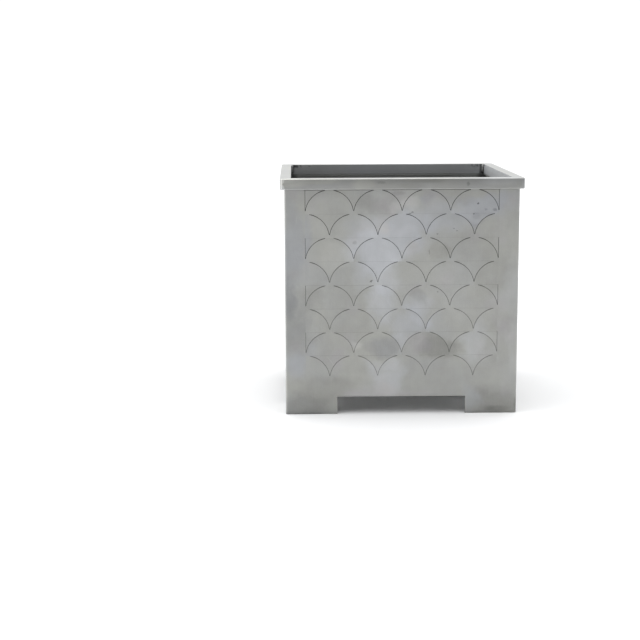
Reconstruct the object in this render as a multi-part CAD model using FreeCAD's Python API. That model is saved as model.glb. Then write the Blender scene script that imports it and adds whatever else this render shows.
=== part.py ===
import FreeCAD
import Part
import math
import os

# Square aluminium planter: four engraved wall panels under a mitred tube rim, held together from the
# inside by angles and screws, with a loose drained floor plate on four ledges.
# Millimetres, +Z up, front towards -Y. The origin is the middle of the footprint, on the ground.

# Whole planter
side = 550.0  # across the rim, the same both ways
height = 541.0  # ground to the top of the rim

# Rim tube
rim_tube = 25.0  # square section, outside
rim_tube_wall = 3.0
rim_overhang = 10.0  # from the panel's outer face to the rim's
rim_edge_radius = 2.5  # along the tube's outer edges
rim_opening_radius = 1.0  # along the tube's inner edges, round the opening
rim_corner_radius = 8.0  # the mitred corners, dressed round in plan

# Keys inside the rim's mitres
key_leg = 40.0
key_clearance = 0.1  # to the inside of the tube, on each face

# Wall panels
panel_thickness = 5.0
panel_corner_radius = 3.0  # upright corners of the box
panel_foot_radius = 2.0  # lower outside edge
notch_width = 294.0
notch_height = 41.0
notch_corner_radius = 1.5

# Engraved scales
pattern_margin = 46.5  # plain band at each side of the pattern
pattern_top_gap = 1.0  # from the panel's top edge to the first row
plain_band = 35.0  # least height left plain above the notch
scale_columns = 4
row_pitch_share = 0.989  # from row to row, of a scale's radius
arc_cut_width = 1.2
arc_cut_depth = 1.0
end_cut_width = 0.9  # upright lines that close the half gaps
row_line_width = 0.6
row_line_depth = 0.3
crown_gap = 20.0  # left uncut over the top of each scale
tip_rise = 8.0  # the cuts stop this far above the foot of their arcs

# Corner angles
corner_leg = 40.0
corner_thickness = 4.0
corner_root_radius = 3.0
corner_top_gap = 0.5  # below the rim angles
corner_screw_count = 5  # in each leg
corner_screw_end = 45.0  # end of the angle to its first screw

# Rim angles
rim_angle_height = 25.0
rim_angle_thickness = 3.0
rim_angle_root_radius = 1.5
rim_screw_drop = 14.0  # rim underside to the screws
rim_screw_count = 5
rim_screw_end = 42.0  # inner corner to the first screw

# Floor ledges
ledge_width = 40.0
ledge_drop = 30.0
ledge_thickness = 3.0
ledge_root_radius = 2.0
ledge_notch_gap = 3.0  # above the notch
ledge_end_gap = 0.5  # to the corner angles
ledge_screw_count = 4
ledge_screw_end = 40.0  # end of the ledge to its first screw

# Floor plate
floor_thickness = 4.0
floor_rim_gap = 3.0  # to the rim's opening, so that the plate lifts out
floor_corner_radius = 12.0
floor_edge_radius = 0.8
drain_diameter = 25.0
drain_spread = 290.0  # between the outer drain holes, each way

# Screws into the panels
screw_diameter = 5.0
screw_head_diameter = 9.5
screw_head_height = 2.75
screw_socket = 3.0  # across the flats
screw_socket_depth = 1.4
screw_skin = 1.6  # left in the panel between a screw hole and the outer face
screw_hole_gap = 0.25  # around the shank, in the angles
thread_gap = 0.05  # around and past the shank, in the panels

# Countersunk screws up into the rim
rail_screw_diameter = 3.0
rail_screw_head_diameter = 5.6
rail_screw_slot = 0.7
rail_screw_slot_depth = 0.6
rail_screw_reach = 2.0  # past the tube's wall
rail_screw_count = 4
rail_screw_end = 110.0  # rim corner to the first screw

overrun = 5.0  # how far a cut runs past the face that it starts from

# Levels and half widths that the pieces share
panel_half = side / 2 - rim_overhang
inside_half = panel_half - panel_thickness
opening_half = side / 2 - rim_tube
rim_underside = height - rim_tube
shelf_width = inside_half - opening_half
corner_top = rim_underside - rim_angle_height - corner_top_gap
ledge_top = notch_height + ledge_notch_gap + ledge_drop
ledge_half = inside_half - corner_leg - ledge_end_gap

quarter = 90
turns = {"front": 0, "right": quarter, "back": 2 * quarter, "left": 3 * quarter}
corners = {"front_right": 0, "back_right": quarter, "back_left": 2 * quarter, "front_left": 3 * quarter}

up = FreeCAD.Vector(0, 0, 1)
inward = FreeCAD.Vector(0, 1, 0)
middle = FreeCAD.Vector(0, 0, 0)


def turned(shape, angle):
    """A copy of the shape, turned about the planter's upright middle line."""
    copy = shape.copy()
    copy.rotate(middle, up, angle)
    return copy


def spaced(first, last, count):
    """Evenly spaced places from first to last."""
    return [first + (last - first) * step / (count - 1) for step in range(count)]


def block(x_low, x_high, y_low, y_high, z_low, z_high):
    """A box between three pairs of faces."""
    corner = FreeCAD.Vector(x_low, y_low, z_low)
    return Part.makeBox(x_high - x_low, y_high - y_low, z_high - z_low, corner)


def square_block(half, z_low, z_high):
    """A box of square plan about the planter's middle line."""
    return block(-half, half, -half, half, z_low, z_high)


def prism(outline, direction):
    """The solid that a closed outline of points sweeps along a direction."""
    return Part.Face(Part.makePolygon(outline + outline[:1])).extrude(direction)


def rounded(shape, radius, chosen):
    """The shape with a round along each edge that is chosen by its middle point and direction."""
    edges = []
    for edge in shape.Edges:
        start = edge.valueAt(edge.FirstParameter)
        end = edge.valueAt(edge.LastParameter)
        if chosen((start + end) * 0.5, end - start):
            edges.append(edge)
    return shape.makeFillet(radius, edges)


def is_upright(run):
    """Whether an edge's direction is upright."""
    return abs(run.x) + abs(run.y) < abs(run.z)


def at_level(place, level):
    """Whether a point lies at a height."""
    return math.isclose(place.z, level, abs_tol=screw_hole_gap / 100)


def front_quarter():
    """The upright wedge that holds the front of the planter, between its two mitre planes."""
    reach = side
    outline = [middle, FreeCAD.Vector(-reach, -reach, 0), FreeCAD.Vector(reach, -reach, 0)]
    return prism(outline, up * height)


def front_point(x, z):
    """A point on the outer face of the front panel."""
    return FreeCAD.Vector(x, -panel_half, z)


def groove(edges, depth):
    """The cutter for a groove in the front panel, from its closed outline on the panel's face."""
    face = Part.Face(Part.Wire(edges))
    return face.extrude(inward * depth).fuse(face.extrude(inward * -overrun))


def straight_groove(start, end, width, depth):
    """A groove with round ends along a straight line on the front panel."""
    along = (end - start).normalize()
    across = along.cross(inward) * (width / 2)
    tip = along * (width / 2)
    return groove([
        Part.LineSegment(start + across, end + across).toShape(),
        Part.Arc(end + across, end + tip, end - across).toShape(),
        Part.LineSegment(end - across, start - across).toShape(),
        Part.Arc(start - across, start - tip, start + across).toShape(),
    ], depth)


def arc_groove(centre, radius, first, last, width, depth):
    """A groove with round ends along a circle's arc on the front panel, between two angles."""

    def point(distance, angle):
        return centre + FreeCAD.Vector(math.cos(angle), 0, math.sin(angle)) * distance

    def end_tip(angle, sense):
        heading = FreeCAD.Vector(-math.sin(angle), 0, math.cos(angle))
        return point(radius, angle) + heading * (sense * width / 2)

    half = (first + last) / 2
    outer = radius + width / 2
    inner = radius - width / 2
    return groove([
        Part.Arc(point(outer, first), point(outer, half), point(outer, last)).toShape(),
        Part.Arc(point(outer, last), end_tip(last, 1), point(inner, last)).toShape(),
        Part.Arc(point(inner, last), point(inner, half), point(inner, first)).toShape(),
        Part.Arc(point(inner, first), end_tip(first, -1), point(outer, first)).toShape(),
    ], depth)


def scale_cutters():
    """All grooves of one panel: the gaps between the scales are outlined, row by row."""
    pattern_half = panel_half - pattern_margin
    radius = pattern_half / scale_columns
    top = rim_underside - pattern_top_gap
    row_pitch = radius * row_pitch_share
    rows = int((top - notch_height - plain_band) / row_pitch)
    low = math.asin(tip_rise / radius)
    high = math.acos(crown_gap / 2 / radius)
    reach = radius - crown_gap / 2
    cutters = []
    for row in range(rows):
        line = top - row * row_pitch
        foot = line - radius
        shift = row % 2
        for column in range(scale_columns + 1 - shift):
            x = -pattern_half + (2 * column + shift) * radius
            has_left = x - radius > -pattern_half - radius / 2
            has_right = x + radius < pattern_half + radius / 2
            if has_left:
                centre = front_point(x - radius, foot)
                cutters.append(arc_groove(centre, radius, low, high, arc_cut_width, arc_cut_depth))
            if has_right:
                centre = front_point(x + radius, foot)
                cutters.append(
                    arc_groove(centre, radius, math.pi - high, math.pi - low, arc_cut_width, arc_cut_depth)
                )
            if not (has_left and has_right):
                upper = front_point(x, line - row_line_width)
                lower = front_point(x, foot + tip_rise)
                cutters.append(straight_groove(upper, lower, end_cut_width, arc_cut_depth))
            left_end = front_point(x - reach if has_left else x, line)
            right_end = front_point(x + reach if has_right else x, line)
            cutters.append(straight_groove(left_end, right_end, row_line_width, row_line_depth))
    return cutters


def corner_screw_levels():
    """Heights of the screws in the corner angles."""
    return spaced(corner_screw_end, corner_top - corner_screw_end, corner_screw_count)


def panel_screw_places():
    """The front panel's screws, by what they hold: x, z and the thickness under the head."""
    corner_x = inside_half - corner_leg / 2
    rim_reach = inside_half - rim_screw_end
    rim_level = rim_underside - rim_screw_drop
    ledge_reach = ledge_half - ledge_screw_end
    ledge_level = ledge_top - ledge_thickness - (ledge_drop - ledge_thickness) / 2
    return {
        "corner_angle_screws": [
            (x, z, corner_thickness) for x in (-corner_x, corner_x) for z in corner_screw_levels()
        ],
        "rim_angle_screws": [
            (x, rim_level, rim_angle_thickness) for x in spaced(-rim_reach, rim_reach, rim_screw_count)
        ],
        "ledge_screws": [
            (x, ledge_level, ledge_thickness)
            for x in spaced(-ledge_reach, ledge_reach, ledge_screw_count)
        ],
    }


def outward_pin(radius, x, z, y_from, y_to):
    """A cylinder towards the front, between two depths."""
    start = FreeCAD.Vector(x, y_from, z)
    return Part.makeCylinder(radius, y_from - y_to, start, inward * -1)


def is_notch_corner(place, run):
    """Whether an edge is one of the notch's two upper corners."""
    return at_level(place, notch_height) and run.x == 0


def front_panel():
    """The front wall: mitred ends, foot notch, engraved scales and blind screw holes inside."""
    walls = square_block(panel_half, 0, rim_underside)
    walls = rounded(walls, panel_corner_radius, lambda place, run: is_upright(run))
    walls = rounded(walls, panel_foot_radius, lambda place, run: at_level(place, 0))
    walls = walls.cut(square_block(inside_half, -overrun, rim_underside + overrun))
    panel = walls.common(front_quarter())
    notch_half = notch_width / 2
    notch = block(-notch_half, notch_half, -panel_half - overrun, -inside_half + overrun,
                  -overrun, notch_height)
    notch = rounded(notch, notch_corner_radius, is_notch_corner)
    hole_radius = screw_diameter / 2 + thread_gap
    hole_floor = -panel_half + screw_skin
    cutters = [notch] + scale_cutters()
    for places in panel_screw_places().values():
        for x, z, _ in places:
            cutters.append(outward_pin(hole_radius, x, z, -inside_half + overrun, hole_floor))
    return panel.cut(cutters)


def drilled(angle_bar, places):
    """An angle along the front wall with its clearance holes."""
    radius = screw_diameter / 2 + screw_hole_gap
    holes = []
    for x, z, thickness in places:
        inner_face = -inside_half + thickness
        holes.append(outward_pin(radius, x, z, inner_face + overrun, -inside_half - overrun))
    return angle_bar.cut(holes)


def socket_screw(x, z, thickness):
    """A button-head screw from the inside of the front wall, head against the angle."""
    seat = -inside_half + thickness
    tip = -panel_half + screw_skin + thread_gap
    shank_radius = screw_diameter / 2
    head_radius = screw_head_diameter / 2
    chamfer = screw_diameter / 10
    crown_radius = screw_socket
    crown = seat + screw_head_height
    brow = FreeCAD.Vector((head_radius + crown_radius) / 2, seat + screw_head_height * 3 / 4, 0)
    shoulder = FreeCAD.Vector(head_radius, seat + screw_head_height / 4, 0)
    crown_edge = FreeCAD.Vector(crown_radius, crown, 0)
    outline = [
        FreeCAD.Vector(0, tip, 0),
        FreeCAD.Vector(shank_radius - chamfer, tip, 0),
        FreeCAD.Vector(shank_radius, tip + chamfer, 0),
        FreeCAD.Vector(shank_radius, seat, 0),
        FreeCAD.Vector(head_radius, seat, 0),
        shoulder,
    ]
    edges = [Part.LineSegment(a, b).toShape() for a, b in zip(outline, outline[1:])]
    edges.append(Part.Arc(shoulder, brow, crown_edge).toShape())
    edges.append(Part.LineSegment(crown_edge, FreeCAD.Vector(0, crown, 0)).toShape())
    edges.append(Part.LineSegment(FreeCAD.Vector(0, crown, 0), outline[0]).toShape())
    screw = Part.Face(Part.Wire(edges)).revolve(middle, inward, 360)
    corner_radius = screw_socket / math.sqrt(3)
    hexagon = []
    for step in range(6):
        angle = step * math.pi / 3
        point = FreeCAD.Vector(math.cos(angle), 0, math.sin(angle)) * corner_radius
        hexagon.append(point + inward * (crown - screw_socket_depth))
    screw = screw.cut(prism(hexagon, inward * (screw_socket_depth + overrun)))
    screw.translate(FreeCAD.Vector(x, 0, z))
    return screw


def is_opening_edge(place, run):
    """Whether an edge runs round the rim's opening, above or below."""
    reach = max(abs(place.x), abs(place.y))
    return not is_upright(run) and math.isclose(reach, opening_half, abs_tol=rim_opening_radius / 2)


def rim_frame():
    """The whole rim as one ring of square tube, before it is cut at the mitres."""
    ring = square_block(side / 2, rim_underside, height)
    ring = rounded(ring, rim_corner_radius, lambda place, run: is_upright(run))
    ring = rounded(ring, rim_edge_radius, lambda place, run: not is_upright(run))
    ring = ring.cut(square_block(opening_half, rim_underside - overrun, height + overrun))
    ring = rounded(ring, rim_opening_radius, is_opening_edge)
    hollow = square_block(side / 2 - rim_tube_wall, rim_underside + rim_tube_wall, height - rim_tube_wall)
    core_half = opening_half + rim_tube_wall
    hollow = hollow.cut(square_block(core_half, rim_underside, height))
    return ring.cut(hollow)


def rail_screw_places():
    """Where the rim screws stand along the front rail."""
    reach = side / 2 - rail_screw_end
    return spaced(-reach, reach, rail_screw_count)


def rail_screw_depth():
    """The rim screws stand in the middle of the rim angle's free shelf."""
    return -inside_half + (rim_angle_thickness + shelf_width) / 2


def rail_screw_shape(x, gap):
    """A countersunk screw, or with a gap around it, its hole."""
    shank = rail_screw_diameter / 2 + gap
    head = rail_screw_head_diameter / 2 + gap
    seat = rim_underside - rim_angle_thickness
    cone = head - shank
    tip = rim_underside + rim_tube_wall + rail_screw_reach
    place = FreeCAD.Vector(x, rail_screw_depth(), seat)
    taper = Part.makeCone(head, shank, cone, place, up)
    return taper.fuse(Part.makeCylinder(shank, tip - seat, place, up))


def rail_screw(x):
    """A slotted countersunk screw up through the rim angle into the rail."""
    seat = rim_underside - rim_angle_thickness
    half_slot = rail_screw_slot / 2
    reach = rail_screw_head_diameter
    slot = block(x - reach, x + reach, rail_screw_depth() - half_slot, rail_screw_depth() + half_slot,
                 seat - overrun, seat + rail_screw_slot_depth)
    return rail_screw_shape(x, 0).cut(slot)


def front_rail():
    """The front length of rim tube, mitred at both ends."""
    rail = rim_frame().common(front_quarter())
    return rail.cut([rail_screw_shape(x, thread_gap) for x in rail_screw_places()])


def corner_key():
    """The L-shaped key that lines up the front right mitre of the rim."""
    outer = side / 2 - rim_tube_wall - key_clearance
    inner = opening_half + rim_tube_wall + key_clearance
    end = inner - key_leg
    outline = [
        FreeCAD.Vector(outer, -outer, 0),
        FreeCAD.Vector(outer, -end, 0),
        FreeCAD.Vector(inner, -end, 0),
        FreeCAD.Vector(inner, -inner, 0),
        FreeCAD.Vector(end, -inner, 0),
        FreeCAD.Vector(end, -outer, 0),
    ]
    thickness = rim_tube - 2 * (rim_tube_wall + key_clearance)
    key = prism(outline, up * thickness)
    key.translate(up * (rim_underside + rim_tube_wall + key_clearance))
    return key


def is_root(place, run, inner):
    """Whether an edge is the inner corner of the front right angle bar."""
    at_corner = math.isclose(place.x, inner) and math.isclose(place.y, -inner)
    return is_upright(run) and at_corner


def corner_angle(places):
    """The angle bar in the front right corner, from the ground to the rim angles."""
    outer = inside_half
    toe = inside_half - corner_leg
    inner = inside_half - corner_thickness
    outline = [
        FreeCAD.Vector(outer, -outer, 0),
        FreeCAD.Vector(outer, -toe, 0),
        FreeCAD.Vector(inner, -toe, 0),
        FreeCAD.Vector(inner, -inner, 0),
        FreeCAD.Vector(toe, -inner, 0),
        FreeCAD.Vector(toe, -outer, 0),
    ]
    angle = prism(outline, up * corner_top)
    angle = rounded(angle, corner_root_radius, lambda place, run: is_root(place, run, inner))
    right_leg = [place for place in places if place[0] > 0]
    left_leg = [place for place in places if place[0] < 0]
    angle = drilled(angle, right_leg)
    return turned(drilled(turned(angle, -quarter), left_leg), quarter)


def angle_along_front(half, level, width, drop, thickness, root_radius):
    """An angle bar along the front wall: a level leg on top and a leg down the wall."""
    wall = -inside_half
    outline = [
        FreeCAD.Vector(-half, wall, level),
        FreeCAD.Vector(-half, wall + width, level),
        FreeCAD.Vector(-half, wall + width, level - thickness),
        FreeCAD.Vector(-half, wall + thickness, level - thickness),
        FreeCAD.Vector(-half, wall + thickness, level - drop),
        FreeCAD.Vector(-half, wall, level - drop),
    ]
    bar = prism(outline, FreeCAD.Vector(2 * half, 0, 0))

    def inner_corner(place, run):
        along = run.y == 0 and run.z == 0
        return along and math.isclose(place.y, wall + thickness) and at_level(place, level - thickness)

    return rounded(bar, root_radius, inner_corner)


def rim_angle(places):
    """The mitred angle under the front rail, which ties the rail to the panel."""
    bar = angle_along_front(inside_half, rim_underside, shelf_width, rim_angle_height,
                            rim_angle_thickness, rim_angle_root_radius)
    bar = drilled(bar.common(front_quarter()), places)
    return bar.cut([rail_screw_shape(x, thread_gap) for x in rail_screw_places()])


def floor_ledge(places):
    """The ledge along the front wall that carries the floor plate."""
    bar = angle_along_front(ledge_half, ledge_top, ledge_width, ledge_drop, ledge_thickness,
                            ledge_root_radius)
    return drilled(bar, places)


def floor_plate():
    """The loose floor plate with a drain hole in the middle and one near each corner."""
    half = opening_half - floor_rim_gap
    plate = square_block(half, ledge_top, ledge_top + floor_thickness)
    plate = rounded(plate, floor_corner_radius, lambda place, run: is_upright(run))
    plate = rounded(plate, floor_edge_radius, lambda place, run: not is_upright(run))
    reach = drain_spread / 2
    holes = []
    for x, y in [(0, 0), (-reach, -reach), (-reach, reach), (reach, -reach), (reach, reach)]:
        start = FreeCAD.Vector(x, y, ledge_top - overrun)
        holes.append(Part.makeCylinder(drain_diameter / 2, floor_thickness + 2 * overrun, start, up))
    return plate.cut(holes)


def all_round(shapes):
    """Copies of the front's shapes on all four sides, as one group of solids."""
    return Part.makeCompound([turned(shape, angle) for angle in turns.values() for shape in shapes])


def build():
    """Every node of the planter by name."""
    places = panel_screw_places()
    panel = front_panel()
    rail = front_rail()
    rim_bar = rim_angle(places["rim_angle_screws"])
    ledge = floor_ledge(places["ledge_screws"])
    key = corner_key()
    corner_bar = corner_angle(places["corner_angle_screws"])
    nodes = {}
    for name, angle in turns.items():
        nodes[name + "_panel"] = turned(panel, angle)
        nodes[name + "_rim_rail"] = turned(rail, angle)
        nodes[name + "_rim_angle"] = turned(rim_bar, angle)
        nodes[name + "_floor_ledge"] = turned(ledge, angle)
    for name, angle in corners.items():
        nodes[name + "_rim_key"] = turned(key, angle)
        nodes[name + "_corner_angle"] = turned(corner_bar, angle)
    for name, group in places.items():
        nodes[name] = all_round([socket_screw(*place) for place in group])
    nodes["rim_rail_screws"] = all_round([rail_screw(x) for x in rail_screw_places()])
    nodes["floor_plate"] = floor_plate()
    return nodes


os.makedirs("parts", exist_ok=True)
for node, shape in build().items():
    shape.exportStep("parts/" + node + ".step")
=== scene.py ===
import math

import bmesh
import bpy
from mathutils import Matrix, Vector


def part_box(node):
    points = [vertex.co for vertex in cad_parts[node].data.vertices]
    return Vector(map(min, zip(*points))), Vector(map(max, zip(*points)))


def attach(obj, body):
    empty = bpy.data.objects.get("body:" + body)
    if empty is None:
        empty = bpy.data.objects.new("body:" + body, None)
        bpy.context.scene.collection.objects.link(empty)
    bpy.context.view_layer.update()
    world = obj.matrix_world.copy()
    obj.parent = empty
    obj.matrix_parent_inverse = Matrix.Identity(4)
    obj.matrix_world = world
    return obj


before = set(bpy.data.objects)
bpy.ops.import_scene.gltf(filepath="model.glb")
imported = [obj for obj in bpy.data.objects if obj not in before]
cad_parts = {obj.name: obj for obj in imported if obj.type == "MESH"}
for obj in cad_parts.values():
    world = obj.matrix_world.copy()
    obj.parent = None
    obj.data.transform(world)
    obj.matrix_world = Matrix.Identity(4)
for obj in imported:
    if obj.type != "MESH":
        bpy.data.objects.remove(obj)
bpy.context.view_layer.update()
scene = bpy.context.scene
mm = 0.001

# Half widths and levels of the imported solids, in metres
rim_low, rim_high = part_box("front_rim_rail")
rim_half = -rim_low.y
opening_half = -rim_high.y
panel_half = -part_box("front_panel")[0].y
rim_underside = rim_low.z
rim_top = rim_high.z

# The engraved scales, as the solids have them
pattern_margin = 46.5 * mm
crown_margin = 1.0 * mm
crown_gap = 20.0 * mm
row_share = 0.989
scale_columns = 4
scale_rows = 8
pattern_half = panel_half - pattern_margin
scale_radius = pattern_half / scale_columns
scale_width = 2.0 * scale_radius
row_pitch = row_share * scale_radius
first_crown = rim_underside - crown_margin

# The sides and corners, each with its turn about the planter's axis in degrees
sides = {"front": 0, "right": 90, "back": 180, "left": 270}
corners = {"front_right": 0, "back_right": 90, "back_left": 180, "front_left": 270}

# Seeds of the noise lie this far apart from one side or corner to the next
seed_step = 20.0

# Colours of the bare aluminium
plate_warm = (0.478, 0.480, 0.452, 1.0)
plate_cool = (0.468, 0.480, 0.496, 1.0)
plate_rosy = (0.484, 0.478, 0.472, 1.0)

# How noise is drawn out into lines: along the side of the planter, and upright
lines_along = (0.02, 1.0, 1.0)
lines_upright = (1.0, 1.0, 0.02)

# Soft patches of the plates: along, level, reach along, reach up (mm), tone change, coolness
plate_patches = {
    "front": [
        # The first four lifts and the one at (-34, 80) make a lighter upright band up the middle of the
        # front: a painted reflection
        (-62, 378, 85, 62, 0.17, 0.9),
        (-20, 435, 110, 52, 0.13, 0.7),
        (-30, 318, 58, 56, 0.15, 0.7),
        (-38, 256, 42, 62, 0.14, 0.7),
        (90, 452, 110, 46, 0.05, 0.7),
        (190, 480, 75, 46, 0.0, 0.8),
        (140, 478, 50, 28, 0.07, 0.2),
        (-34, 80, 42, 62, 0.12, 0.5),
        (20, 214, 52, 46, 0.08, 0.5),
        (-50, 170, 56, 30, -0.11, 0.4),
        (-48, 128, 44, 22, 0.11, 0.4),
        (2, 177, 24, 18, 0.09, 0.5),
        (-110, 177, 24, 18, 0.10, 0.1),
        (102, 151, 78, 42, -0.17, -0.8),
        (182, 150, 48, 60, 0.10, 0.4),
        (44, 246, 46, 46, 0.06, 0.4),
        (46, 268, 34, 30, -0.11, 0.0),
        (-258, 276, 28, 66, -0.14, 0.4),
        (-240, 215, 52, 100, -0.11, 0.0),
        (-248, 400, 40, 130, -0.05, 0.7),
        (-240, 122, 46, 50, 0.03, 0.6),
        (-175, 66, 118, 46, -0.12, -0.1),
        (-200, 276, 42, 42, -0.09, -0.2),
        (215, 20, 95, 58, -0.18, -0.1),
        (-225, 16, 100, 52, -0.21, 0.2),
        (-138, 385, 62, 56, 0.09, 0.1),
        (-60, 498, 75, 32, -0.08, 0.0),
        (150, 388, 85, 50, -0.07, -0.2),
        (76, 374, 38, 36, -0.12, -0.4),
        (205, 320, 64, 84, -0.09, -0.2),
        (12, 392, 36, 46, 0.09, 0.6),
        (-88, 326, 46, 46, 0.08, 0.3),
        (248, 280, 36, 150, 0.04, 0.2),
        (258, 150, 28, 72, 0.08, 0.1),
        (12, 489, 34, 26, 0.13, 0.2),
        (58, 494, 28, 22, -0.02, 0.7),
        (130, 503, 90, 20, 0.0, 0.4),
        (205, 498, 80, 30, 0.02, 0.5),
        (172, 444, 24, 20, -0.09, 0.2),
        (157, 30, 32, 42, 0.05, 0.6),
    ],
}

# Soft patches of the rim tubes, in the same terms
rim_patches = {
    "front": [
        # The first two lighten the left end of the front rail: a painted highlight where the light from the
        # left falls
        (-250, 533, 52, 16, 0.11, -0.5),
        (-262, 538, 42, 8, 0.10, 0.0),
        (-185, 536, 62, 10, 0.07, -0.5),
        (-88, 528, 36, 18, 0.11, -0.3),
        (45, 536, 70, 8, -0.07, -0.3),
        (20, 524, 45, 10, -0.06, -0.2),
        (222, 534, 66, 13, 0.09, 0.2),
    ],
}

# Dark nicks and smudges of the plates: along, level, reach along, reach up (mm), strength
plate_nicks = {
    "front": [
        (-70, 308, 3.4, 3.0, 0.46),
        (-73, 306, 2.4, 1.8, 0.14),
        (-67, 310, 2.2, 2.0, 0.28),
        (171, 483, 3.4, 2.6, 0.46),
        (161, 460, 2.6, 2.0, 0.40),
        (23, 464, 3.2, 2.2, 0.38),
        (18, 461, 4.5, 2.2, 0.36),
        (12, 459, 5.0, 2.0, 0.28),
        (117, 427, 3.0, 1.8, 0.27),
        (124, 422, 3.0, 1.7, 0.27),
        (80, 415, 2.6, 2.0, 0.26),
        (82, 283, 2.6, 2.0, 0.26),
        (167, 455, 12.0, 11.0, 0.07),
        (62, 374, 1.6, 7.0, 0.14),
        (189, 470, 5.0, 3.2, 0.15),
        (209, 469, 6.5, 4.6, 0.22),
        (-107, 396, 7.0, 5.4, 0.18),
        (-9, 507, 22.0, 7.0, 0.09),
        (222, 11, 36.0, 9.0, 0.10),
        (200, 12, 18.0, 9.0, 0.06),
        (264, 20, 6.5, 22.0, 0.15),
    ],
}

# Nicks of the rim tubes, in the same terms: the front's on its outer face, the back's on its inner face
rim_nicks = {
    "front": [
        (147, 528, 4.4, 7.0, 0.15),
        (-48, 532, 13.0, 4.0, 0.08),
    ],
    "back": [
        (-232, 537, 7.0, 3.2, 0.40),
        (237, 536, 9.0, 4.0, 0.25),
        (203, 537, 4.5, 2.2, 0.25),
    ],
}


class Field:
    """A number, colour or vector that varies over a surface: one output socket of a node tree."""

    def __init__(self, socket):
        self.socket = socket

    @staticmethod
    def node(tree, kind, settings=None, sockets=None, out=0):
        """Adds a node: its settings come first, then the values or links of its sockets."""
        made = tree.nodes.new(kind)
        for name, value in (settings or {}).items():
            setattr(made, name, value)
        for name, value in (sockets or {}).items():
            if isinstance(value, Field):
                tree.links.new(value.socket, made.inputs[name])
            else:
                made.inputs[name].default_value = value
        return Field(made.outputs[out]) if len(made.outputs) else None

    def more(self, kind, settings=None, sockets=None, out=0):
        """A node in the same tree."""
        return Field.node(self.socket.id_data, kind, settings, sockets, out)

    def math(self, operation, *others):
        """A Math node with this as its first value."""
        return self.more("ShaderNodeMath", {"operation": operation}, dict(enumerate((self,) + others)))

    def vector(self, operation, *others, out=0):
        """A Vector Math node with this as its first vector."""
        vectors = dict(enumerate((self,) + others))
        return self.more("ShaderNodeVectorMath", {"operation": operation}, vectors, out)

    def __add__(self, other):
        return self.math("ADD", other)

    def __sub__(self, other):
        return self.math("SUBTRACT", other)

    def __rsub__(self, other):
        return self.math("MULTIPLY_ADD", -1.0, other)

    def __mul__(self, other):
        return self.math("MULTIPLY", other)

    def __abs__(self):
        return self.math("ABSOLUTE")

    __radd__ = __add__
    __rmul__ = __mul__

    def plus(self, share, amount):
        """This with a share of an amount added."""
        return share.math("MULTIPLY_ADD", amount, self)

    def smooth(self, start, end):
        """A soft step from 0 at start to 1 at end."""
        return self.more("ShaderNodeMapRange", {"interpolation_type": "SMOOTHSTEP"},
                         {"Value": self, "From Min": start, "From Max": end})

    def parts(self):
        """The three parts of a vector."""
        split = self.more("ShaderNodeSeparateXYZ", None, {0: self})
        return [Field(output) for output in split.socket.node.outputs]

    def tint(self, first, second):
        """The first colour where this is 0 and the second where it is 1."""
        return self.more("ShaderNodeMix", {"data_type": "RGBA"}, {0: self, 6: first, 7: second}, 2)

    def scaled(self, share):
        """A colour or vector times a number."""
        return self.more("ShaderNodeVectorMath", {"operation": "SCALE"}, {0: self, "Scale": share})

    def turned(self, axis, degrees):
        """A place turned about an axis."""
        return self.more("ShaderNodeVectorRotate", {"rotation_type": axis},
                         {"Vector": self, "Angle": math.radians(degrees)})

    def centred(self):
        """A vector of numbers from 0 to 1, moved to lie about 0."""
        return self.vector("SUBTRACT", (0.5, 0.5, 0.5))

    def cloud(self, scale, detail, rough, seed, out):
        """Soft noise from 0 to 1 at this place."""
        return self.more("ShaderNodeTexNoise", {"noise_dimensions": "4D"}, {
            "Vector": self, "W": seed, "Scale": scale, "Detail": detail, "Roughness": rough}, out)

    def noise(self, scale, detail, rough, seed):
        """A number of soft noise about 0 at this place."""
        return self.cloud(scale, detail, rough, seed, 0) - 0.5

    def drift(self, scale, detail, rough, seed):
        """A vector of soft noise about 0 at this place."""
        return self.cloud(scale, detail, rough, seed, 1).centred()


def photo_camera():
    """The camera at the photo's place, worked out from the corners of the rim and the feet."""
    photo_width = 640
    sensor_width = 36.0
    focal_pixels = 1420.0
    place = Vector((-0.24093, -3.44909, 0.76367))
    pan = math.radians(0.9896)
    tilt = math.radians(9.6915)
    roll = math.radians(-0.2551)
    ahead = Vector((math.sin(pan) * math.cos(tilt), math.cos(pan) * math.cos(tilt), -math.sin(tilt)))
    level = Vector((math.cos(pan), -math.sin(pan), 0))
    over = level.cross(ahead)
    right = level * math.cos(roll) + over * math.sin(roll)
    over = over * math.cos(roll) - level * math.sin(roll)
    data = bpy.data.cameras.new("photo_camera")
    data.sensor_width = sensor_width
    data.lens = focal_pixels / photo_width * sensor_width
    camera = bpy.data.objects.new("photo_camera", data)
    turn = Matrix((right, over, -ahead)).transposed()
    camera.matrix_world = Matrix.Translation(place) @ turn.to_4x4()
    scene.collection.objects.link(camera)
    scene.camera = camera


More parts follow.
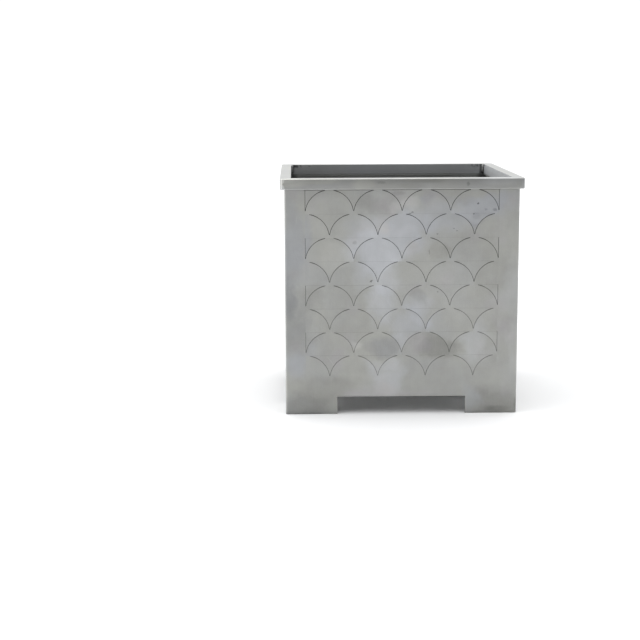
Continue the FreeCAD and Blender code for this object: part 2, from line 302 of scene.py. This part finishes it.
def studio_light():
    """A white room: strong soft light overhead, a bright back and left, a dim front and right.

    The backdrop itself is white all round."""
    low_front_level = 0.14
    high_front_level = 0.35
    right_level = 0.14
    high_right_level = 1.15
    back_level = 1.1
    left_level = 2.1
    top_level = 1.75
    backdrop_level = 1.1
    light_colour = (0.985, 0.99, 1.0, 1.0)
    world = bpy.data.worlds.new("studio")
    world.use_nodes = True
    tree = world.node_tree
    tree.nodes.clear()
    heading = Field.node(tree, "ShaderNodeTexCoord", out="Generated")
    across, away, up = heading.parts()
    high = up.smooth(0.05, 0.45)
    to_right = across.smooth(0.2, 0.7)
    high_right = across.smooth(0.3, 0.7) * up.smooth(0.15, 0.45)
    to_back = away.smooth(0.0, 0.5)
    to_left = across.smooth(-0.45, -0.9)
    overhead = up.smooth(0.5, 0.85)
    level = high * (high_front_level - low_front_level) + low_front_level
    level = level + to_right * (right_level - level)
    level = level.math("MAXIMUM", high_right * high_right_level)
    level = level + to_back * (back_level - level)
    level = level.math("MAXIMUM", to_left * left_level)
    level = level + overhead * (top_level - level)
    seen = level.more("ShaderNodeLightPath", out="Is Camera Ray")
    level = level + seen * (backdrop_level - level)
    light = level.more("ShaderNodeBackground", None, {"Color": light_colour, "Strength": level})
    light.more("ShaderNodeOutputWorld", None, {"Surface": light})
    scene.world = world
    scene.view_settings.view_transform = "Standard"


def new_finish(name):
    """An empty material and the place of a point on the planter."""
    material = bpy.data.materials.new(name)
    material.use_nodes = True
    material.node_tree.nodes.clear()
    return material, Field.node(material.node_tree, "ShaderNodeTexCoord", out="Object")


def own_place(place, turn):
    """The place seen from its own side of the planter, as if that side were the front."""
    return place.turned("Z_AXIS", -turn)


def metal(colour, rough, height, relief):
    """Bare metal of this colour, with a surface relief in metres."""
    normal = colour.more("ShaderNodeBump", None, {"Strength": 1.0, "Distance": relief, "Height": height})
    shader = colour.more("ShaderNodeBsdfPrincipled", None, {
        "Base Color": colour, "Metallic": 1.0, "Roughness": rough, "Normal": normal})
    shader.more("ShaderNodeOutputMaterial", None, {"Surface": shader})


def spot(place, along, level, wide, tall, core):
    """A soft spot: 1 within its core, a share of its reach, and 0 past its reach. Lengths are in mm."""
    any_depth = 1.0
    centre = (along * mm, -panel_half, level * mm)
    reach = (wide * mm, any_depth, tall * mm)
    away = place.vector("SUBTRACT", centre).vector("DIVIDE", reach).vector("LENGTH", out=1)
    return away.smooth(1.0, core)


def patched(tone, cool, place, patches):
    """A tone and a coolness with soft patches in them."""
    core = 0.3
    for along, level, wide, tall, change, coolness in patches:
        share = spot(place, along, level, wide, tall, core)
        tone = tone.plus(share, change)
        cool = cool.plus(share, coolness)
    return tone, cool


def nicked(tone, own, nicks, face, seed):
    """A tone with small ragged dark nicks in it, on one face alone."""
    if not nicks:
        return tone
    core = 0.4
    raggedness = 7.0 * mm
    ragged = own.vector("ADD", own.drift(260.0, 3.0, 0.7, seed + 13).scaled(raggedness))
    scarred = tone
    for along, level, wide, tall, strength in nicks:
        scarred = scarred.plus(spot(ragged, along, level, wide, tall, core), -strength)
    return tone + face * (scarred - tone)


def hairlines(own, seed):
    """Fine scratches from handling, in a few directions, in groups."""
    leans = (12, 48, 83, 128, 157)
    scratch_stretch = (0.025, 1.0, 1.0)
    group_seed = 37
    lines = 0.0
    for step, lean in enumerate(leans):
        stretched = own.turned("Y_AXIS", lean).vector("MULTIPLY", scratch_stretch)
        drawn = stretched.noise(520.0, 1.0, 0.5, seed + step).smooth(0.2, 0.26)
        group = own.noise(13.0, 2.0, 0.5, seed + step + group_seed).smooth(0.02, 0.2)
        lines = (drawn * group).math("MAXIMUM", lines)
    return lines


def scale_scatter(along, level, seed):
    """A small random vector, steady over each engraved scale and nothing off the pattern."""
    foot_fade = 20.0 * mm
    columns = along * (1.0 / scale_width)
    cell = (0.0, 0.0, 0.0, 1.0)
    for row in range(scale_rows):
        shifted = columns + 0.5 * (row % 2)
        column = shifted.math("FLOOR")
        aside = (shifted - column - 0.5) * scale_width
        foot_level = first_crown - row * row_pitch - scale_radius
        arch = (scale_radius ** 2 - aside * aside).math("SQRT") + foot_level
        mark = column.more("ShaderNodeCombineXYZ", None, {0: column, 1: row + 1.0, 2: seed})
        cell = arch.math("GREATER_THAN", level).tint(cell, mark)
    scatter = cell.more("ShaderNodeTexWhiteNoise", {"noise_dimensions": "3D"}, {"Vector": cell}, 1)
    in_width = abs(along).math("LESS_THAN", pattern_half)
    above_last_foot = level.smooth(foot_level, foot_level + foot_fade)
    return scatter.centred().scaled(in_width * above_last_foot)


def crown_cut_shade(along, level):
    """Painted shade beside the cuts, where each begins near the crown of its scale."""
    gap_half = 0.5 * crown_gap
    rows = (first_crown - level) * (1.0 / row_pitch)
    row = rows.math("FLOOR")
    down = rows - row
    columns = row.math("FLOORED_MODULO", 2.0) * 0.5 + along * (1.0 / scale_width)
    aside = (columns.math("FRACT") - 0.5) * scale_width
    rise = scale_radius - down * row_pitch
    off_line = abs((aside * aside + rise * rise).math("SQRT") - scale_radius)
    beside = off_line.smooth(1.7 * mm, 0.6 * mm)
    past_gap = abs(aside).smooth(gap_half + 1.0 * mm, gap_half + 6.0 * mm)
    near_crown = down.smooth(0.15, 0.05)
    return beside * past_gap * near_crown


def plate_finish(side, turn, cloud_strength, seed):
    """Dull rolled plate: clouds, soft patches, nicks, engraved lines with painted shade in them, painted
    shade inside and under the rim, painted highlights up the upright edges and a darker lowest band.
    """
    base_tone = 0.82
    base_coolness = 0.15
    base_roughness = 0.55
    coolness_spread = 1.5
    scale_shift = 35.0 * mm
    patch_warp = 80.0 * mm
    pattern_foot = 83.0 * mm
    mottle_tone = 0.22
    grain_tone = 0.1
    rolled_tone = 0.05
    scratch_tone = 0.08
    # Painted shade in all the engraved lines
    painted_line_shade = 0.12
    relief = 0.02 * mm
    material, place = new_finish(side + "_plate")
    own = own_place(place, turn)
    along, inward, level = own.parts()
    depth = inward + panel_half
    inside = depth.smooth(2.0 * mm, 4.0 * mm)
    outside = 1.0 - inside

    # Clouds and patches, which shift a little from scale to scale, and nicks
    stepped = own.vector("ADD", scale_scatter(along, level, seed).scaled(outside * scale_shift))
    warped = stepped.vector("ADD", own.drift(16.0, 3.0, 0.6, seed).scaled(patch_warp))
    tone = stepped.noise(6.5, 4.0, 0.55, seed + 3) * cloud_strength + base_tone
    cool = warped.noise(7.0, 3.0, 0.6, seed + 7) * coolness_spread + base_coolness
    tone, cool = patched(tone, cool, warped, plate_patches.get(side, []))
    mottle = stepped.noise(24.0, 3.0, 0.6, seed + 11)
    tone = tone.plus(mottle, mottle_tone)
    tone = nicked(tone, own, plate_nicks.get(side, []), outside, seed)

    # Rolled grain and scratches
    grain = own.noise(700.0, 2.0, 0.6, seed + 17)
    rolled = own.vector("MULTIPLY", lines_upright).noise(430.0, 2.0, 0.6, seed + 19)
    scratches = hairlines(own, seed)

    # Painted light and shade: highlights up the upright edges, a darker lowest band, painted shade inside and
    # towards the top, and a painted shadow under the rim
    # Painted highlight up each plate's upright edges, stronger at its left edge
    low_edge_painted_highlight = along.smooth(4.6 * mm - panel_half, 2.4 * mm - panel_half) * 0.12
    high_edge_painted_highlight = along.smooth(panel_half - 4.6 * mm, panel_half - 2.4 * mm) * 0.05
    in_width = abs(along).smooth(pattern_half + 4.0 * mm, pattern_half + 3.0 * mm)
    engraved = in_width * level.smooth(pattern_foot, pattern_foot + 3.0 * mm)
    off_crown = abs((along * (1.0 / scale_width)).math("FRACT") - 0.5).smooth(0.085, 0.11)
    under_rim = level.smooth(rim_underside - 2.6 * mm, rim_underside - 1.4 * mm)
    # Painted shadow in a band just under the rim, strongest along the top row's line away from the crowns
    painted_rim_shadow = under_rim * (off_crown * engraved * 0.25 + 0.06)
    shade = level.smooth(360.0 * mm, 520.0 * mm) * 0.04
    # Darker over the lowest 10 mm of each plate
    lowest_band_darkening = level.smooth(10.0 * mm, 1.0 * mm) * 0.12
    # Painted shade over the plates' inner faces
    painted_inside_shade = inside * 0.12

    # The engraved lines with painted shade in them, more in the deep cuts and towards the top, and painted
    # shade beside the cuts near each scale's crown
    line = depth.smooth(0.1 * mm, 0.25 * mm) * depth.smooth(1.6 * mm, 1.3 * mm) * engraved
    cut = depth.smooth(0.35 * mm, 0.6 * mm) * line
    # Painted shade in the deep cuts, stronger towards the top
    painted_cut_shade = level.smooth(150.0 * mm, 520.0 * mm) * 0.45 + 0.4
    # Painted shade beside the cuts near each crown, stronger towards the top
    crown_shade_strength = level.smooth(50.0 * mm, 400.0 * mm) * 0.15 + 0.10
    painted_crown_shade = crown_cut_shade(along, level) * engraved * outside * crown_shade_strength

    tone = tone + grain * grain_tone + rolled * rolled_tone + scratches * scratch_tone
    tone = tone + low_edge_painted_highlight + high_edge_painted_highlight
    tone = tone - lowest_band_darkening - shade - painted_rim_shadow - painted_inside_shade - painted_crown_shade
    tone = tone * (1.0 - cut * painted_cut_shade) * (1.0 - line * painted_line_shade)
    rosy = own.noise(11.0, 2.0, 0.5, seed + 23).smooth(0.04, 0.2)
    colour = rosy.tint(cool.tint(plate_warm, plate_cool), plate_rosy).scaled(tone)
    rough = tone * -0.12 + base_roughness + mottle * 0.12 - scratches * 0.08
    height = grain * 0.6 + rolled * 0.6 - scratches * 0.5
    metal(colour, rough, height, relief)
    return material


def tube_finish(side, turn, inner_face_light, ground_and_lit_end_lifts, end_soots_and_shade, seed):
    """Rim tube: drawn lines along it, painted light face by face, a darker middle to the outer face, ground
    ends with a painted highlight at the front's left end, and weld soot and painted shade inside.
    """
    base_tone = 0.70
    base_coolness = 0.25
    base_roughness = 0.52
    tone_spread = 0.3
    coolness_spread = 1.2
    inner_coolness = 0.5
    ground_coolness = 0.25
    drawn_tone = 0.06
    top_painted_highlight = 0.29
    edge_painted_highlight = 0.48
    heel_painted_reflection = 0.14
    outer_middle_darkening = 0.15
    seam_darkness = 0.18
    smear_darkness = 0.7
    raggedness = 9.0 * mm
    relief = 0.015 * mm
    material, place = new_finish(side + "_rim_tube")
    own = own_place(place, turn)
    along, inward, level = own.parts()
    drawn = own.vector("MULTIPLY", lines_along).noise(600.0, 2.0, 0.6, seed)

    # The tube's faces, and the edges and band of its outer face
    top = level.smooth(rim_top - 1.2 * mm, rim_top - 0.1 * mm)
    below_top = 1.0 - top
    outer = (inward + rim_half).smooth(12.0 * mm, 6.0 * mm)
    inner = (1.0 - outer) * below_top
    edge = level.smooth(rim_top - 2.8 * mm, rim_top - 1.2 * mm) * below_top * outer
    heel = level.smooth(rim_underside + 2.2 * mm, rim_underside + 0.9 * mm) * outer
    off_edge = (1.0 - edge) * below_top
    # Darker over the middle of the outer face, between its edges
    outer_middle = level.smooth(rim_underside + 4.0 * mm, rim_top - 3.5 * mm) * outer * off_edge

    # Clouds, patches, painted light face by face, and nicks
    tone = own.noise(8.0, 3.0, 0.55, seed + 2) * tone_spread + base_tone
    cool = own.noise(7.0, 2.0, 0.5, seed + 9) * coolness_spread + base_coolness
    cool = cool + inner * inner_coolness
    tone, cool = patched(tone, cool, own, rim_patches.get(side, []))
    # Painted highlights on the top face and the upper outer edge, a painted reflection on the lower outer
    # edge, and painted light on the inner face
    tone = tone + drawn * drawn_tone + top * top_painted_highlight + edge * edge_painted_highlight + heel * heel_painted_reflection
    tone = tone - outer_middle * outer_middle_darkening + inner * inner_face_light
    nicked_face = inner if side == "back" else outer
    tone = nicked(tone, own, rim_nicks.get(side, []), nicked_face, seed)
    inner_shade = level.smooth(rim_top - 8.0 * mm, rim_underside + 4.0 * mm) * 0.12
    tone = tone - inner * inner_shade

    # Each end: ground outside, with a ragged bowed edge and a painted highlight at the front rail's left end,
    # and weld soot and painted shade inside
    middle = 0.5 * (rim_underside + rim_top)
    bowed = abs(level - middle) * 0.5 + own.noise(150.0, 3.0, 0.6, seed + 21) * raggedness
    patchy = own.noise(160.0, 2.0, 0.6, seed + 27) + 0.75
    for end, lift, soot_and_shade in zip((-1.0, 1.0), ground_and_lit_end_lifts, end_soots_and_shade):
        ground_and_lit_end = (along * end + bowed).smooth(rim_half - 8.0 * mm, rim_half - 5.0 * mm) * outer * off_edge
        cool = cool.plus(ground_and_lit_end, ground_coolness)
        tone = tone.plus(ground_and_lit_end, lift)
        # Darker inside near the corners: weld soot and painted shade
        burnt_and_shaded = (along * end).smooth(opening_half - 13.0 * mm, opening_half - 8.0 * mm) * inner * patchy
        tone = tone * (1.0 - burnt_and_shaded * soot_and_shade)

    # Dressed corners, the mitre seam and soot smears near the corners
    dressed = abs(along).smooth(225.0 * mm, 262.0 * mm)
    ground = own.noise(260.0, 3.0, 0.6, seed + 5)
    tone = tone + dressed * (ground * 0.12 + 0.02)
    seam = abs(abs(along) - abs(inward)).smooth(0.6 * mm, 0.1 * mm)
    near_corner = abs(along).smooth(200.0 * mm, 240.0 * mm)
    high_inside = inner * level.smooth(rim_top - 12.0 * mm, rim_top - 3.0 * mm)
    smears = own.noise(110.0, 2.0, 0.6, seed + 13).smooth(-0.02, 0.12) * near_corner * high_inside
    tone = tone * (1.0 - seam * seam_darkness) * (1.0 - smears * smear_darkness)

    colour = cool.tint(plate_warm, plate_cool).scaled(tone)
    rough = tone * -0.1 + base_roughness + inner * 0.15
    metal(colour, rough, drawn + ground * dressed, relief)
    return material


def drawn_angle_finish(name, turn, stretch, end_soot_and_shade, seed):
    """Extruded angle: fine die lines along its length, and ends darkened by weld soot and painted shade in
    the corners, where it lies below a weld.
    """
    base_tone = 1.0
    base_coolness = 0.4
    base_roughness = 0.48
    relief = 0.02 * mm
    material, place = new_finish(name + "_mill")
    own = own_place(place, turn)
    drawn = own.vector("MULTIPLY", stretch).noise(500.0, 2.0, 0.65, seed)
    blotch = own.noise(22.0, 4.0, 0.6, seed + 4)
    along = own.parts()[0]
    # Ends darkened: weld soot and painted shade in the corners
    ends = abs(along).smooth(opening_half - 22.0 * mm, opening_half - 4.0 * mm)
    tone = (drawn * 0.14 + blotch * 0.22 + base_tone) * (1.0 - ends * end_soot_and_shade)
    colour = (blotch * 1.2 + base_coolness).tint(plate_warm, plate_cool).scaled(tone)
    metal(colour, tone * -0.1 + base_roughness, drawn, relief)
    return material


def floor_plate_finish():
    """Mill sheet: rolled grain, wiped smears and dull spots."""
    base_tone = 1.05
    base_coolness = 0.5
    base_roughness = 0.5
    grain_stretch = (0.03, 1.0, 1.0)
    relief = 0.02 * mm
    material, place = new_finish("floor_plate_sheet")
    rolled = place.vector("MULTIPLY", grain_stretch).noise(420.0, 2.0, 0.65, 1.0)
    smear = place.noise(7.0, 5.0, 0.6, 2.0)
    spots = place.noise(60.0, 3.0, 0.7, 5.0).smooth(0.12, 0.26)
    tone = rolled * 0.12 + smear * 0.3 + base_tone - spots * 0.12
    colour = (smear + base_coolness).tint(plate_warm, plate_cool).scaled(tone)
    metal(colour, base_roughness - rolled * 0.1 + spots * 0.12, rolled, relief)
    return material


def screw_finish():
    """Stainless screw: turned and lightly stained."""
    stainless_warm = (0.60, 0.58, 0.55, 1.0)
    stainless_cool = (0.56, 0.57, 0.59, 1.0)
    base_tone = 1.0
    base_coolness = 0.4
    base_roughness = 0.3
    relief = 0.01 * mm
    material, place = new_finish("screw_stainless")
    stain = place.noise(180.0, 3.0, 0.6, 3.0)
    turned = place.noise(1500.0, 2.0, 0.6, 8.0)
    tone = stain * 0.3 + turned * 0.1 + base_tone
    colour = (stain + base_coolness).tint(stainless_warm, stainless_cool).scaled(tone)
    metal(colour, stain * 0.2 + base_roughness, turned, relief)
    return material


def weld_finish(corner, soot_and_shade, seed):
    """Weld metal: a bright ridge, with its toes and lower end darkened by soot and by painted shade in the
    creases.
    """
    base_tone = 0.66
    base_coolness = 0.5
    base_roughness = 0.5
    relief = 0.03 * mm
    material, place = new_finish(corner + "_weld")
    across, away, level = place.parts()
    toe = abs(abs(across) - abs(away)).smooth(1.0 * mm, 4.5 * mm)
    low_end = level.smooth(rim_underside + 13.0 * mm, rim_underside + 4.0 * mm)
    stain = place.noise(120.0, 3.0, 0.6, seed)
    grit = place.noise(900.0, 2.0, 0.6, seed + 2)
    tone = stain * 0.8 + grit * 0.12 + base_tone
    # Toes and lower end darkened: soot and painted crease shade
    tone = tone * (1.0 - toe * soot_and_shade) * (1.0 - low_end * soot_and_shade)
    colour = (stain + base_coolness).tint(plate_warm, plate_cool).scaled(tone)
    metal(colour, stain * 0.2 + base_roughness, grit, relief)
    return material


def dress(node, material):
    """Gives a CAD node its finish."""
    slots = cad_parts[node].data.materials
    slots.clear()
    slots.append(material)


def dress_planter():
    """Every CAD node's finish."""
    cloud_strengths = {"front": 0.35, "right": 0.9, "back": 0.9, "left": 0.9}
    # Painted light on each rail's inner face, strongest on the right rail's, which faces the bright left
    inner_face_lights = {"front": 0.32, "right": 0.76, "back": 0.28, "left": 0.32}
    # The front rail's left end is lifted far more: a painted highlight where the light from the left falls
    ground_and_lit_end_lifts = {"front": (0.37, 0.06), "right": (0.15, 0.15), "back": (0.15, 0.15), "left": (0.15, 0.15)}
    # Weld soot and painted shade inside near the rim's corners
    end_soots_and_shade = {"front": (0.35, 0.35), "right": (0.35, 0.35), "back": (0.75, 0.2), "left": (0.35, 0.35)}
    angle_soot_and_shade = 0.6
    corner_angle_soot = 0.0
    for number, (side, turn) in enumerate(sides.items()):
        seed = seed_step * number
        dress(side + "_panel", plate_finish(side, turn, cloud_strengths[side], seed))
        dress(side + "_rim_rail", tube_finish(
            side, turn, inner_face_lights[side], ground_and_lit_end_lifts[side], end_soots_and_shade[side], seed + 2))
        along = drawn_angle_finish(side + "_angles", turn, lines_along, angle_soot_and_shade, seed + 4)
        dress(side + "_rim_angle", along)
        dress(side + "_floor_ledge", along)
    for number, (corner, turn) in enumerate(corners.items()):
        seed = seed_step * number
        upright = drawn_angle_finish(corner, turn, lines_upright, corner_angle_soot, seed + 7)
        dress(corner + "_corner_angle", upright)
        dress(corner + "_rim_key", upright)
    screws = screw_finish()
    for group in ("corner_angle_screws", "rim_angle_screws", "ledge_screws", "rim_rail_screws"):
        dress(group, screws)
    dress("floor_plate", floor_plate_finish())


def weld_bead(name, turn, material):
    """The rippled bead up an inner corner of the rim."""
    leg = 7.0 * mm
    bulge = 0.8 * mm
    bury = 0.5 * mm
    pitch = 2.6 * mm
    ripple = 0.09
    ripple_lag = 2.2
    slow_wander = 0.03
    quick_wander = 0.015
    end_margin = 1.2 * mm
    end_loss = 0.5
    ends_in_length = 7.0
    rings = 96
    steps = 12
    mesh = bmesh.new()
    loops = []
    low = rim_underside + end_margin
    high = rim_top - end_margin
    for ring in range(rings + 1):
        share = ring / rings
        level = low + (high - low) * share
        to_end = min(share, 1.0 - share)
        taper = 1.0 - end_loss * max(0.0, 1.0 - ends_in_length * to_end) ** 2
        wander = slow_wander * math.sin(9.0 * share + turn)
        wander = wander + quick_wander * math.sin(23.0 * share + 2.0 * turn)
        reach = leg * taper * (1.0 + wander)
        loop = []
        for step in range(steps + 1):
            t = step / steps
            bow = 4.0 * t * (1.0 - t)
            phase = 2.0 * math.pi * (level / pitch) - ripple_lag * bow
            push = bulge * bow * (1.0 + ripple * math.sin(phase)) / math.sqrt(2.0)
            u = -reach * (1.0 - t) - push + bury * t
            v = -reach * t - push + bury * (1.0 - t)
            loop.append((opening_half + u, -opening_half - v, level))
        loop.append((opening_half + bury, -opening_half - bury, level))
        loops.append([mesh.verts.new(point) for point in loop])
    count = len(loops[0])
    for lower, upper in zip(loops, loops[1:]):
        for i in range(count):
            j = (i + 1) % count
            mesh.faces.new((lower[i], lower[j], upper[j], upper[i]))
    mesh.faces.new(loops[0])
    mesh.faces.new(loops[-1])
    bmesh.ops.recalc_face_normals(mesh, faces=mesh.faces)
    about_axis = Matrix.Rotation(math.radians(turn), 3, "Z")
    bmesh.ops.rotate(mesh, verts=mesh.verts, cent=(0, 0, 0), matrix=about_axis)
    data = bpy.data.meshes.new(name)
    mesh.to_mesh(data)
    mesh.free()
    for face in data.polygons:
        is_end = len(face.vertices) > 4
        face.use_smooth = not is_end
    bead = bpy.data.objects.new(name, data)
    scene.collection.objects.link(bead)
    data.materials.append(material)
    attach(bead, "planter_box")


def weld_rim_corners():
    """A weld bead in each inner corner of the rim."""
    # Soot and painted shade at each bead's toes and lower end
    corner_soots_and_shade = {"front_right": 0.5, "back_right": 0.75, "back_left": 0.3, "front_left": 0.4}
    for number, (corner, turn) in enumerate(corners.items()):
        finish = weld_finish(corner, corner_soots_and_shade[corner], seed_step * number + 4)
        weld_bead("rim_weld_" + corner, turn, finish)


def studio_floor():
    """The pale floor."""
    reach = 15.0
    outline_points = 96
    base_tone = 0.93
    unevenness = 0.02
    roughness = 0.9
    glow = 0.025
    black = (0.0, 0.0, 0.0, 1.0)
    white = (1.0, 1.0, 1.0, 1.0)
    mesh = bmesh.new()
    bmesh.ops.create_circle(mesh, cap_ends=True, segments=outline_points, radius=reach)
    data = bpy.data.meshes.new("studio_floor")
    mesh.to_mesh(data)
    mesh.free()
    floor = bpy.data.objects.new("studio_floor", data)
    scene.collection.objects.link(floor)
    material, place = new_finish("studio_floor_paint")
    tone = place.noise(3.0, 3.0, 0.5, 1.0) * unevenness + base_tone
    colour = tone.tint(black, white)
    shader = colour.more("ShaderNodeBsdfPrincipled", None, {
        "Base Color": colour, "Roughness": roughness, "Emission Color": white, "Emission Strength": glow})
    shader.more("ShaderNodeOutputMaterial", None, {"Surface": shader})
    data.materials.append(material)


photo_camera()
studio_light()
studio_floor()
dress_planter()
weld_rim_corners()
